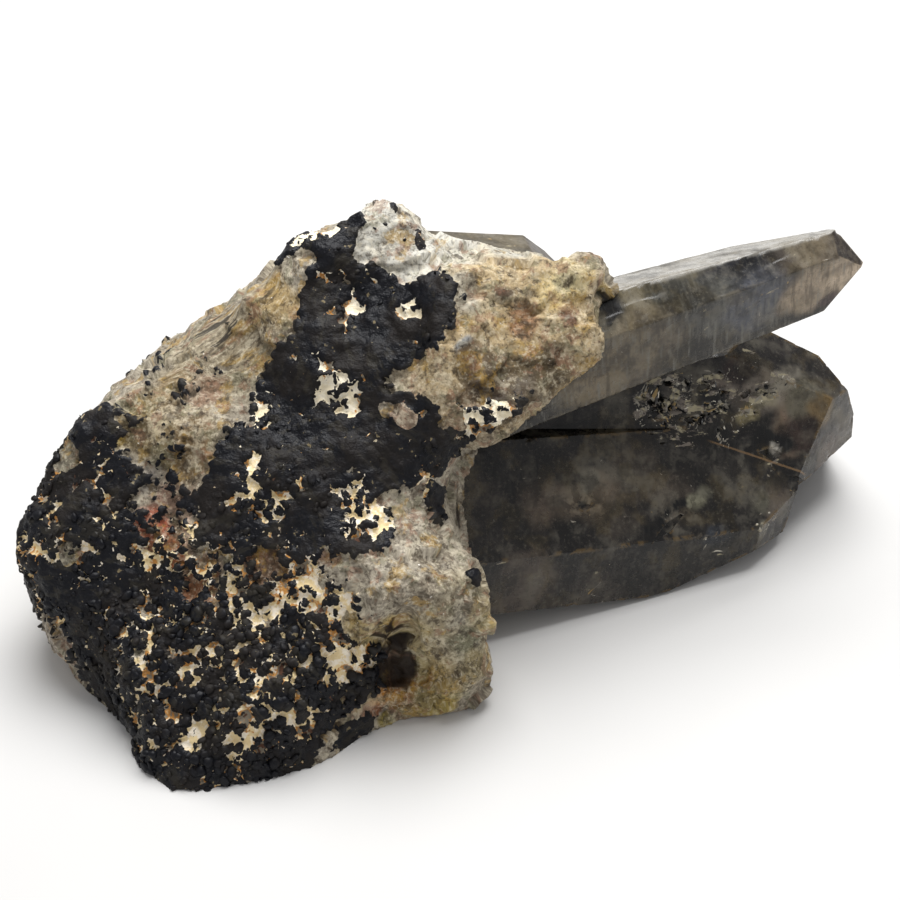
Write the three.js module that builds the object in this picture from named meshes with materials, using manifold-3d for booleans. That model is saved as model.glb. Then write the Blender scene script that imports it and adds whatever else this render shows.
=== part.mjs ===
// Morion quartz: smoky crystals grown out of the side of a lump of rock crusted in black.
// Millimetres, +Z up, +X along the crystals, the lump to the left. It rests on its flat base.
import * as THREE from 'three';
import { ConvexGeometry } from 'three/addons/geometries/ConvexGeometry.js';
import { ConvexHull } from 'three/addons/math/ConvexHull.js';
import { ImprovedNoise } from 'three/addons/math/ImprovedNoise.js';
import { mergeVertices } from 'three/addons/utils/BufferGeometryUtils.js';
import Module from 'manifold-3d';

const wasm = await Module();
wasm.setup();

// A crystal stands on its root and points along bearing and pitch (degrees from +X and from level).
// Each face is turned about that length from straight up, leans towards the tip by some degrees,
// and lies so many millimetres from the root.
const upperCrystal = {
  root: [21.5, 11, 52],
  bearing: 22,
  pitch: 6,
  buried: 17.5,
  faces: [
    [-25, 3.5, 10.5],
    [35, 2.5, 11],
    [95, 2.5, 8.5],
    [155, 2, 11.5],
    [215, 2.5, 8.5],
    [275, 2.5, 9],
    [43.5, 36.5, 41],
    [135, 35, 39.3],
    [300, 55, 50.4],
    [283.5, 18, 20],
    [215, 38, 57],
    [275, 38, 57],
  ],
};
const frontCrystal = {
  root: [10, 12, 16],
  bearing: 14,
  pitch: -4,
  buried: 22,
  faces: [
    [45, 8.5, 19.5],
    [84, 7, 25],
    [141, 18, 33],
    [180, 4, 15.2],
    [150, -3, 22],
    [228, 5, 22],
    [285, 5, 22],
    [350, 6, 17.5],
    [87, 34.5, 44.5],
    [47, 18, 27.7],
    [117, 70, 61],
    [330, 40, 52],
  ],
};
const rightCrystal = {
  root: [42, 38.5, 26],
  bearing: 10,
  pitch: -14,
  buried: 32,
  faces: [
    [61, 0, 21.5],
    [22, 10, 22],
    [-43, 19, 14],
    [-43, 0, 10.5],
    [0, -14, 14],
    [-35, 48, 27.5],
    [-15, 74, 40],
    [73, 34.5, 36],
    [127, 41.5, 38.5],
    [120, 1, 26],
    [175, 2, 16.5],
    [235, 2, 17],
    [270, 6, 14],
    [250, 45, 38],
  ],
};
const backCrystal = {
  root: [2, 32, 53],
  bearing: 10,
  pitch: -6,
  buried: 12,
  faces: [
    [-10, 3, 9],
    [50, 3, 10],
    [110, 3, 10],
    [170, 3, 10],
    [230, 3, 10],
    [290, 3, 9],
    [-10, 40, 15],
    [50, 50, 18],
    [110, 50, 28],
    [170, 50, 28],
    [230, 50, 20],
    [290, 45, 19],
  ],
};

// Etched pits in the crystals' faces, long and narrow, each along its own bearing and pitch.
const frontPits = [
  { at: [44, 0.3, 15.5], bearing: 44, pitch: 14, length: 5.5, width: 1.3 },
  { at: [27, -1.7, 22.7], bearing: 14, pitch: -4, length: 2.5, width: 0.8 },
];
const rightPits = [
  { at: [66, 17.5, 20.5], bearing: 10, pitch: -14, length: 3, width: 1.6 },
  { at: [51.3, 20.9, 34.9], bearing: 30, pitch: 0, length: 2.5, width: 1.3 },
  { at: [41.4, 16, 31.8], bearing: 0, pitch: -20, length: 2.5, width: 1.2 },
  { at: [60.2, 22.1, 32.1], bearing: 40, pitch: 10, length: 2, width: 1 },
  { at: [48.7, 17.1, 29.6], bearing: 10, pitch: -14, length: 2, width: 1 },
];

// The rock is a blend of blocks, each the hull of its corners.
const body = [
  [-50, -52, -14],
  [-60, -41, -14],
  [-28, -51, -14],
  [-12, -45, -14],
  [-80, -20, 3],
  [-70, -25, -14],
  [-87, -18, 25],
  [-81, -12, 38],
  [-74, -8, 47],
  [-61, 0, 57],
  [-14, 20, 85],
  [-2, 13, 79],
  [1, 2, 71],
  [-5, -15, 52],
  [-3, -25, 38],
  [1, -26, 30],
  [-56, -45, 13],
  [-30, -46, 19],
  [-18, -40, 28],
  [14, 16, -14],
  [20, 48, 32],
  [22, 50, -10],
  [6, 42, 52],
  [-10, 42, 62],
  [-60, 30, 34],
  [-72, 26, -14],
  [-10, 50, -14],
];
const heel = [
  [-61, -46, -8],
  [-60, -54, -8],
  [-56, -59, -8],
  [-50, -60, -8],
  [-43, -58, -8],
  [-33, -54, -8],
  [-20, -49, -8],
  [-60, -44, 12],
  [-52, -50, 13],
  [-30, -48, 17],
  [-40, -28, 20],
  [-20, -28, 8],
];
const toe = [
  [-1, -26, 34],
  [4, -29, 32],
  [7, -32, 28],
  [10, -34, 21],
  [7, -37, 13],
  [6, -36, 3],
  [-1, -36, -8],
  [-10, -42, -8],
  [-16, -45, -8],
  [-19, -46, 14],
  [-17, -44, 27],
  [-15, -37, 38],
  [2, -14, 20],
  [4, -14, -10],
  [-24, -20, 10],
];
const shoulder = [
  [26, 14, 75],
  [30, 14, 70],
  [32, 9, 66],
  [34, 3, 61],
  [25, -2, 59],
  [22, -3, 53],
  [13, -9, 46],
  [12, -11, 57],
  [6, -14, 46],
  [4, -13, 42],
  [-4, -11, 60],
  [0, 3, 74],
  [1, 6, 78],
  [19, 11, 72],
  [30, 24, 62],
  [16, 26, 48],
  [-6, 24, 60],
];
const ridge = [
  [-4, 16, 79],
  [6, 18, 74],
  [14, 18, 72],
  [19, 14, 67],
  [24, 16, 63],
  [26, 36, 56],
  [0, 44, 52],
  [-12, 30, 60],
  [4, 10, 58],
];
const cornerRounding = 1.4;
const blending = 1.6;

// What stands out on the rock: broad lumps, small lumps, and ledges that step up between levels.
const broadLumps = { height: 2.2, width: 18 };
const smallLumps = { height: 1.1, width: 8 };
const ledges = { levels: 2.4, width: 22, drop: 16, rise: 1.5, slope: [0.3, 0.7] };

// Hollows in the rock: a cleft above the toe, and a hole where the upper crystal leaves the rock.
const hollows = [
  { at: [31, 7, 64.5], size: [4, 4.5, 6] },
  { at: [-8, -40, 13], size: [4.5, 7, 6] },
  { at: [-9, -39, 22], size: [2.6, 6, 7] },
  { at: [-15, -42, 17], size: [2.4, 6, 6] },
];
const clearance = 0.3;
const buriedDepth = 4;
const floorBlock = [300, 300, 60];

// The rock's surface is drawn as a net over a grid of cells.
const gridStep = 3.1;
const gridCorner = [-92, -68, -9];
const gridCells = [44, 40, 33];
const pinchFill = 0.3;
const cellCorners = [0, 1, 2, 3, 4, 5, 6, 7];
const noise = new ImprovedNoise();

function unitAt(bearing, pitch) {
  const flat = Math.cos(THREE.MathUtils.degToRad(pitch));
  const turn = THREE.MathUtils.degToRad(bearing);
  return new THREE.Vector3(
    flat * Math.cos(turn),
    flat * Math.sin(turn),
    Math.sin(THREE.MathUtils.degToRad(pitch)),
  );
}

// The flat faces of a crystal as planes, each grown outwards by the same small distance.
function facePlanes({ root, bearing, pitch, buried, faces }, grow) {
  const along = unitAt(bearing, pitch);
  const upright = new THREE.Vector3(0, 0, 1).addScaledVector(along, -along.z).normalize();
  const across = new THREE.Vector3().crossVectors(along, upright);
  const start = new THREE.Vector3(...root);
  const rows = [...faces, [0, -90, buried]];
  return rows.map(([turn, lean, distance]) => {
    const round = THREE.MathUtils.degToRad(turn);
    const tip = THREE.MathUtils.degToRad(lean);
    const normal = new THREE.Vector3()
      .addScaledVector(upright, Math.cos(round) * Math.cos(tip))
      .addScaledVector(across, Math.sin(round) * Math.cos(tip))
      .addScaledVector(along, Math.sin(tip));
    return { normal, reach: normal.dot(start) + distance + grow };
  });
}

// The corners where three planes meet inside all the others.
function cornersOf(planes) {
  const corners = [];
  for (let i = 0; i < planes.length; i += 1) {
    for (let j = i + 1; j < planes.length; j += 1) {
      for (let k = j + 1; k < planes.length; k += 1) {
        const corner = meetingPoint(planes[i], planes[j], planes[k]);
        if (corner && planes.every(({ normal, reach }) => normal.dot(corner) < reach + 1e-5)) {
          corners.push(corner);
        }
      }
    }
  }
  return corners;
}

function meetingPoint(a, b, c) {
  const bc = new THREE.Vector3().crossVectors(b.normal, c.normal);
  const volume = a.normal.dot(bc);
  if (Math.abs(volume) < 1e-4) return null;
  const ca = new THREE.Vector3().crossVectors(c.normal, a.normal);
  const ab = new THREE.Vector3().crossVectors(a.normal, b.normal);
  return bc.multiplyScalar(a.reach)
    .addScaledVector(ca, b.reach)
    .addScaledVector(ab, c.reach)
    .divideScalar(volume);
}

function solidFrom(geometry) {
  const bare = geometry.clone();
  bare.deleteAttribute('normal');
  bare.deleteAttribute('uv');
  const merged = mergeVertices(bare, 1e-4);
  return new wasm.Manifold(new wasm.Mesh({
    numProp: 3,
    vertProperties: new Float32Array(merged.attributes.position.array),
    triVerts: new Uint32Array(merged.index.array),
  }));
}

function geometryFrom(solid) {
  const { vertProperties, triVerts } = solid.getMesh();
  const geometry = new THREE.BufferGeometry();
  geometry.setAttribute('position', new THREE.Float32BufferAttribute(vertProperties, 3));
  geometry.setIndex(new THREE.BufferAttribute(triVerts, 1));
  return geometry;
}

function crystalSolid(crystal, grow = 0) {
  return solidFrom(new ConvexGeometry(cornersOf(facePlanes(crystal, grow))));
}

function pitSolid({ at, bearing, pitch, length, width }) {
  const pit = new THREE.OctahedronGeometry(1);
  pit.scale(length, width, width);
  const long = new THREE.Vector3(1, 0, 0);
  pit.applyQuaternion(new THREE.Quaternion().setFromUnitVectors(long, unitAt(bearing, pitch)));
  pit.translate(...at);
  return solidFrom(pit);
}

function lumpsAt(x, y, z, { height, width }, offset) {
  return height * noise.noise(x / width + offset, y / width, z / width);
}

// How far the rock stands out at a point.
function relief(x, y, z) {
  const { levels, width, drop, rise, slope } = ledges;
  const level = levels * noise.noise(x / width + 5, y / width, z / drop);
  const step = THREE.MathUtils.smoothstep(level - Math.floor(level), ...slope);
  const lumps = lumpsAt(x, y, z, broadLumps, 0) + lumpsAt(x, y, z, smallLumps, 3);
  return lumps + rise * (Math.floor(level) + step);
}

function hullSides(corners) {
  const hull = new ConvexHull().setFromPoints(corners.map((corner) => new THREE.Vector3(...corner)));
  return hull.faces.map(({ normal, constant }) => [normal.x, normal.y, normal.z, constant]);
}

// The largest of some values, rounded over where two or more come close.
function softMax(values, rounding) {
  const top = Math.max(...values);
  const sum = values.reduce((total, value) => total + Math.exp((value - top) / rounding), 0);
  return top + rounding * Math.log(sum);
}

// The height of a point above the rock's surface, less than nothing inside the rock.
function heightAbove(blocks, x, y, z) {
  const heights = blocks.map((sides) => (
    softMax(sides.map(([a, b, c, d]) => a * x + b * y + c * z - d), cornerRounding)));
  const rock = -softMax(heights.map((height) => -height), blending) - relief(x, y, z);
  const holes = hollows.map(({ at, size }) => {
    const out = Math.hypot((x - at[0]) / size[0], (y - at[1]) / size[1], (z - at[2]) / size[2]);
    return (1 - out) * Math.min(...size);
  });
  return Math.max(rock, ...holes, -z - buriedDepth);
}

const [nx, ny, nz] = gridCells;
const gridIndex = (i, j, k) => (i * (ny + 1) + j) * (nz + 1) + k;

function forCells(first, action) {
  for (let i = first; i < nx; i += 1) {
    for (let j = first; j < ny; j += 1) {
      for (let k = first; k < nz; k += 1) action(i, j, k);
    }
  }
}

// Whether the buried corners of a cell all join along its edges, and the bare ones too.
function isWhole(buried) {
  return [true, false].every((kind) => {
    const members = cellCorners.filter((corner) => buried[corner] === kind);
    const reached = new Set(members.slice(0, 1));
    reached.forEach((corner) => [1, 2, 4].forEach((step) => {
      if (buried[corner ^ step] === kind) reached.add(corner ^ step);
    }));
    return reached.size === members.length;
  });
}

// Buries the shallowest bare corner of each cell where the surface would touch itself.
function fillPinches(values) {
  let filled = true;
  while (filled) {
    filled = false;
    forCells(0, (i, j, k) => {
      const corners = cellCorners.map((corner) => (
        gridIndex(i + (corner & 1), j + ((corner >> 1) & 1), k + (corner >> 2))));
      if (!isWhole(corners.map((corner) => values[corner] < 0))) {
        const bare = corners.filter((corner) => values[corner] >= 0);
        const shallowest = bare.reduce((a, b) => (values[a] < values[b] ? a : b));
        values[shallowest] = -pinchFill;
        filled = true;
      }
    });
  }
}

// The middle of the places where the surface crosses the edges of a cell, in steps from its corner.
function crossingsMiddle(values, i, j, k) {
  const sum = [0, 0, 0];
  let crossings = 0;
  for (let edge = 0; edge < 12; edge += 1) {
    const axis = edge >> 2;
    const place = [0, 0, 0];
    place[(axis + 1) % 3] = edge & 1;
    place[(axis + 2) % 3] = (edge >> 1) & 1;
    const end = place.map((n, a) => (a === axis ? 1 : n));
    const from = values[gridIndex(i + place[0], j + place[1], k + place[2])];
    const to = values[gridIndex(i + end[0], j + end[1], k + end[2])];
    if ((from < 0) !== (to < 0)) {
      place[axis] = from / (from - to);
      place.forEach((n, a) => { sum[a] += n; });
      crossings += 1;
    }
  }
  return sum.map((n) => n / crossings);
}

// A net with one knot in each cell that the surface crosses, drawn over the whole rock.
function netGeometry(height) {
  const values = [];
  for (let i = 0; i <= nx; i += 1) {
    for (let j = 0; j <= ny; j += 1) {
      for (let k = 0; k <= nz; k += 1) {
        values.push(height(...[i, j, k].map((n, a) => gridCorner[a] + n * gridStep)));
      }
    }
  }
  fillPinches(values);
  const knots = new Map();
  const positions = [];
  const triangles = [];
  const knotAt = (cell) => {
    const key = gridIndex(...cell);
    if (!knots.has(key)) {
      knots.set(key, positions.length / 3);
      const middle = crossingsMiddle(values, ...cell);
      positions.push(...cell.map((n, a) => gridCorner[a] + (n + middle[a]) * gridStep));
    }
    return knots.get(key);
  };
  const pointAt = (knot) => new THREE.Vector3().fromArray(positions, 3 * knot);
  const span = (a, b) => pointAt(a).distanceTo(pointAt(b));
  const aroundEdge = [[0, 0], [-1, 0], [-1, -1], [0, -1]];
  forCells(1, (i, j, k) => {
    const buried = values[gridIndex(i, j, k)] < 0;
    for (let axis = 0; axis < 3; axis += 1) {
      const next = [i, j, k];
      next[axis] += 1;
      if (buried !== values[gridIndex(...next)] < 0) {
        const ring = aroundEdge.map(([b, c]) => {
          const cell = [i, j, k];
          cell[(axis + 1) % 3] += b;
          cell[(axis + 2) % 3] += c;
          return knotAt(cell);
        });
        if (!buried) ring.reverse();
        if (span(ring[1], ring[3]) < span(ring[0], ring[2])) ring.push(ring.shift());
        triangles.push(ring[0], ring[1], ring[2], ring[0], ring[2], ring[3]);
      }
    }
  });
  const geometry = new THREE.BufferGeometry();
  geometry.setAttribute('position', new THREE.Float32BufferAttribute(positions, 3));
  geometry.setIndex(triangles);
  return geometry;
}

const lowerPair = [...frontPits, ...rightPits].reduce(
  (solid, pit) => solid.subtract(pitSolid(pit)),
  crystalSolid(frontCrystal).add(crystalSolid(rightCrystal)),
);

function matrixSolid() {
  const blocks = [body, heel, toe, shoulder, ridge].map(hullSides);
  let rock = solidFrom(netGeometry((x, y, z) => heightAbove(blocks, x, y, z)));
  for (const crystal of [upperCrystal, frontCrystal, rightCrystal, backCrystal]) {
    rock = rock.subtract(crystalSolid(crystal, clearance));
  }
  const below = new THREE.BoxGeometry(...floorBlock);
  below.translate(0, 0, -floorBlock[2] / 2);
  return rock.subtract(solidFrom(below));
}

const smoky = { roughness: 0.2, metalness: 0 };
const part = new THREE.Group();

function addPiece(name, solid, material) {
  const mesh = new THREE.Mesh(geometryFrom(solid), new THREE.MeshStandardMaterial(material));
  mesh.name = name;
  part.add(mesh);
}

addPiece('matrix', matrixSolid(), { color: 0x3b3733, roughness: 0.8, metalness: 0 });
addPiece('upper_crystal', crystalSolid(upperCrystal), { ...smoky, color: 0x4b443d });
addPiece('lower_crystals', lowerPair, { ...smoky, color: 0x35302c });
addPiece('back_crystal', crystalSolid(backCrystal), { ...smoky, color: 0x6b6259 });

const box = new THREE.Box3().setFromObject(part);
part.position.set(-(box.min.x + box.max.x) / 2, -(box.min.y + box.max.y) / 2, -box.min.z);

export default part;
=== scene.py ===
import math
import bpy
import numpy as np
from mathutils import Euler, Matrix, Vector
from mathutils.bvhtree import BVHTree


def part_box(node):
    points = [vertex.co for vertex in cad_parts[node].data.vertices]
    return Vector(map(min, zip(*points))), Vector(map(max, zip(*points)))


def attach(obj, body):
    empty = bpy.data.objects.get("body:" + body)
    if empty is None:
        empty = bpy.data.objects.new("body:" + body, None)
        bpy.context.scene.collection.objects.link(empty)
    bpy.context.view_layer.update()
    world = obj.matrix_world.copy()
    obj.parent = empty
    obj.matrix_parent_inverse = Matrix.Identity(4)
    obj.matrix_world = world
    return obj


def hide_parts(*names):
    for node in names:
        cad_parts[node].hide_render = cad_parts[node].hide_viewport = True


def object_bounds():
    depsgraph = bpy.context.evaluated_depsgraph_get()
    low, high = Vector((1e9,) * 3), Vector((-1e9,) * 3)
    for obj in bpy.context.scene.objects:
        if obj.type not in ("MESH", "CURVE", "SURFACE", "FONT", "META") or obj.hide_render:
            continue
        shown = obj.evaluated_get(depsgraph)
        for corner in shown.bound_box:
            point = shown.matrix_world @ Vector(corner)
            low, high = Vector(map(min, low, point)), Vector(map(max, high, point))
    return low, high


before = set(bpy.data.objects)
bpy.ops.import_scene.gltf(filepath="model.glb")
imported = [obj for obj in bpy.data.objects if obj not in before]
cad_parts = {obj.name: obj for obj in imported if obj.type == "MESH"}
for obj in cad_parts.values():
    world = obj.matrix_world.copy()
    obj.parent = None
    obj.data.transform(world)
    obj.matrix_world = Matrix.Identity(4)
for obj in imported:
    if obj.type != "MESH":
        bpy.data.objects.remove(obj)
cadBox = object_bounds()
mm = 0.001
print("frame loaded", [round(n, 4) for corner in cadBox for n in corner])


# colours are written as on a paint card and turned into the linear values that the shaders take
def paint(card):
    channels = [int(card[n:n + 2], 16) / 255 for n in (1, 3, 5)]
    return tuple(c / 12.92 if c < 0.04045 else ((c + 0.055) / 1.055) ** 2.4 for c in channels) + (1.0,)


# short hands for building node trees, for shaders and for geometry alike
def addNode(tree, kind, inputs=None, **settings):
    node = tree.nodes.new(kind)
    for key, value in settings.items():
        setattr(node, key, value)
    for socket, value in (inputs or {}).items():
        if isinstance(value, bpy.types.NodeSocket):
            tree.links.new(value, node.inputs[socket])
        else:
            node.inputs[socket].default_value = value
    return node


def calc(tree, operation, a, b=0.5, c=0.5):
    return addNode(tree, "ShaderNodeMath", {0: a, 1: b, 2: c}, operation=operation).outputs[0]


def times(tree, a, b):
    return calc(tree, "MULTIPLY", a, b)


# a times b, plus c
def addTimes(tree, a, b, c):
    return calc(tree, "MULTIPLY_ADD", a, b, c)


def vectors(tree, operation, a, b):
    other = 3 if operation == "SCALE" else 1
    node = addNode(tree, "ShaderNodeVectorMath", {0: a, other: b}, operation=operation)
    return node.outputs["Value" if operation == "DOT_PRODUCT" else "Vector"]


def ramp(tree, value, low, high, toLow=0.0, toHigh=1.0):
    node = addNode(tree, "ShaderNodeMapRange", {
        "Value": value, "From Min": low, "From Max": high, "To Min": toLow, "To Max": toHigh,
    }, interpolation_type="SMOOTHSTEP")
    return node.outputs["Result"]


def mixColour(tree, factor, a, b, blend="MIX"):
    node = addNode(tree, "ShaderNodeMix", {0: factor, 6: a, 7: b}, data_type="RGBA", blend_type=blend)
    return node.outputs[2]


# lays one colour after another over the first, each where its noise lies between two values
def layers(tree, colour, rows):
    for value, low, high, share, over in rows:
        over = paint(over) if isinstance(over, str) else over
        colour = mixColour(tree, ramp(tree, value, low, high, 0.0, share), colour, over)
    return colour


def noiseAt(tree, vector, size, detail=2.0, roughness=0.5, distortion=0.0):
    node = addNode(tree, "ShaderNodeTexNoise", {
        "Vector": vector, "Scale": 1 / size, "Detail": detail, "Roughness": roughness,
        "Distortion": distortion,
    })
    return node.outputs[0]


# noise about nought
def centredNoise(tree, vector, size, detail=2.0, roughness=0.5):
    return calc(tree, "SUBTRACT", noiseAt(tree, vector, size, detail, roughness), 0.5)


def cellsAt(tree, vector, size, feature="F1", smoothness=0.3):
    inputs = {"Vector": vector, "Scale": 1 / size}
    if feature == "SMOOTH_F1":
        inputs["Smoothness"] = smoothness
    return addNode(tree, "ShaderNodeTexVoronoi", inputs, feature=feature).outputs["Distance"]


# broken faces, each tilted its own way; the value is how far the face stands out, in steps of its size
def facetsAt(tree, vector, size):
    scaled = vectors(tree, "SCALE", vector, 1 / size)
    cells = addNode(tree, "ShaderNodeTexVoronoi", {"Vector": scaled, "Scale": 1.0})
    away = vectors(tree, "SUBTRACT", scaled, cells.outputs["Position"])
    tilt = vectors(tree, "SUBTRACT", cells.outputs["Color"], (0.5, 0.5, 0.5))
    return vectors(tree, "DOT_PRODUCT", away, tilt)


def warped(tree, vector, size, reach, detail=2.0):
    swirl = addNode(tree, "ShaderNodeTexNoise", {"Vector": vector, "Scale": 1 / size, "Detail": detail})
    centred = vectors(tree, "SUBTRACT", swirl.outputs["Color"], (0.5, 0.5, 0.5))
    return vectors(tree, "ADD", vector, vectors(tree, "SCALE", centred, 2 * reach))


# the same noise read elsewhere, for patterns that must not follow each other
def apartFrom(tree, vector, away):
    return vectors(tree, "ADD", vector, (away, away, away))


def newGroup(name, kind, inputs, outputs):
    tree = bpy.data.node_groups.new(name, kind)
    for sockets, side in ((inputs, "INPUT"), (outputs, "OUTPUT")):
        for socket, socketKind in sockets.items():
            tree.interface.new_socket(socket, in_out=side, socket_type="NodeSocket" + socketKind)
    return tree, addNode(tree, "NodeGroupInput").outputs


def meshGroup(name):
    return newGroup(name, "GeometryNodeTree", {"Geometry": "Geometry"}, {"Geometry": "Geometry"})


# named attributes of the mesh, for the groups that shape it
def attributesOf(tree, names, kind="FLOAT"):
    values = {}
    for name in names:
        node = addNode(tree, "GeometryNodeInputNamedAttribute", {"Name": name}, data_type=kind)
        values[name] = node.outputs["Attribute"]
    return values


# moves the surface along its normals, after the places that the materials read are kept
def raiseSurface(tree, geometry, place, normal, height):
    kept = addNode(tree, "GeometryNodeStoreNamedAttribute", {
        "Geometry": geometry, "Name": "restPlace", "Value": place,
    }, data_type="FLOAT_VECTOR", domain="POINT")
    offset = vectors(tree, "SCALE", normal, height)
    moved = addNode(tree, "GeometryNodeSetPosition", {"Geometry": kept.outputs[0], "Offset": offset})
    addNode(tree, "NodeGroupOutput", {0: moved.outputs[0]})


def newMaterial(name):
    material = bpy.data.materials.new(name)
    material.use_nodes = True
    return material, material.node_tree, material.node_tree.nodes["Principled BSDF"]


def selectOnly(piece):
    bpy.ops.object.select_all(action="DESELECT")
    piece.select_set(True)
    bpy.context.view_layer.objects.active = piece


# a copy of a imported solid, with its loose triangles joined up, to be worked on as a piece of its own
def copyOf(nodeName, name):
    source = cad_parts[nodeName]
    piece = bpy.data.objects.new(name, source.data.copy())
    bpy.context.scene.collection.objects.link(piece)
    piece.data.name = name
    piece.data.materials.clear()
    selectOnly(piece)
    bpy.ops.object.mode_set(mode="EDIT")
    bpy.ops.mesh.select_all(action="SELECT")
    bpy.ops.mesh.remove_doubles(threshold=0.005 * mm)
    bpy.ops.object.mode_set(mode="OBJECT")
    return piece


def applyModifier(piece, kind, name, **settings):
    selectOnly(piece)
    modifier = piece.modifiers.new(name, kind)
    for key, value in settings.items():
        setattr(modifier, key, value)
    bpy.ops.object.modifier_apply(modifier=modifier.name)


def cornersOf(piece, kind="co"):
    places = np.empty(len(piece.data.vertices) * 3, np.float32)
    piece.data.vertices.foreach_get(kind, places)
    return places.reshape(-1, 3)


# runs a node group on a piece for good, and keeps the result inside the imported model's box
def applyGroup(piece, name, group):
    applyModifier(piece, "NODES", name, node_group=group)
    places = np.clip(cornersOf(piece), cadBox[0], cadBox[1])
    piece.data.vertices.foreach_set("co", places.ravel())
    piece.data.update()


# camera and light
view = {
    "target": (-1.14 * mm, 0.73 * mm, 36 * mm),
    "distance": 414.4 * mm,
    "azimuth": 0,
    "elevation": 40,
    "lens": 85,
    "sensor": 36,
}


def addCamera():
    data = bpy.data.cameras.new("camera")
    data.lens = view["lens"]
    data.sensor_width = view["sensor"]
    data.clip_start = 0.01
    camera = bpy.data.objects.new("camera", data)
    bpy.context.scene.collection.objects.link(camera)
    turn = Euler((math.radians(90 - view["elevation"]), 0, math.radians(view["azimuth"])))
    camera.rotation_euler = turn
    camera.location = Vector(view["target"]) + turn.to_matrix() @ Vector((0, 0, view["distance"]))
    bpy.context.scene.camera = camera


studio = {
    "floorSize": 4.0,
    "floorColours": ("#d2d1cf", "#d4d3d1"),
    "floorRoughness": 0.6,
    "floorGrain": 0.05,
    "skyColour": "#fdfdff",
    "skyStrength": 0.485,
    "lights": {
        "overhead": {"at": (0.05, 0.24, 0.71), "size": 0.65, "power": 8.1},
    },
}


def addStudio():
    scene = bpy.context.scene
    scene.view_settings.view_transform = "Standard"
    world = bpy.data.worlds.new("studio sky")
    world.use_nodes = True
    sky = world.node_tree.nodes["Background"]
    sky.inputs["Color"].default_value = paint(studio["skyColour"])
    sky.inputs["Strength"].default_value = studio["skyStrength"]
    scene.world = world
    for name, lamp in studio["lights"].items():
        data = bpy.data.lights.new(name, "AREA")
        data.shape = "DISK"
        data.size = lamp["size"]
        data.energy = lamp["power"]
        light = bpy.data.objects.new(name, data)
        scene.collection.objects.link(light)
        light.location = lamp["at"]
        towards = Vector(view["target"]) - Vector(lamp["at"])
        light.rotation_euler = towards.to_track_quat("-Z", "Y").to_euler()
    bpy.ops.object.select_all(action="DESELECT")
    bpy.ops.mesh.primitive_plane_add(size=studio["floorSize"], location=(0, 0, 0))
    floor = bpy.context.object
    floor.name = "table_top"
    material, tree, shader = newMaterial("white table")
    shader.inputs["Roughness"].default_value = studio["floorRoughness"]
    place = addNode(tree, "ShaderNodeTexCoord").outputs["Object"]
    grain = noiseAt(tree, place, studio["floorGrain"], 3.0)
    darker, lighter = (paint(card) for card in studio["floorColours"])
    colour = mixColour(tree, ramp(tree, grain, 0.3, 0.7), darker, lighter)
    tree.links.new(colour, shader.inputs["Base Color"])
    floor.data.materials.append(material)


addCamera()
addStudio()
print("camera and studio set")

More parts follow.
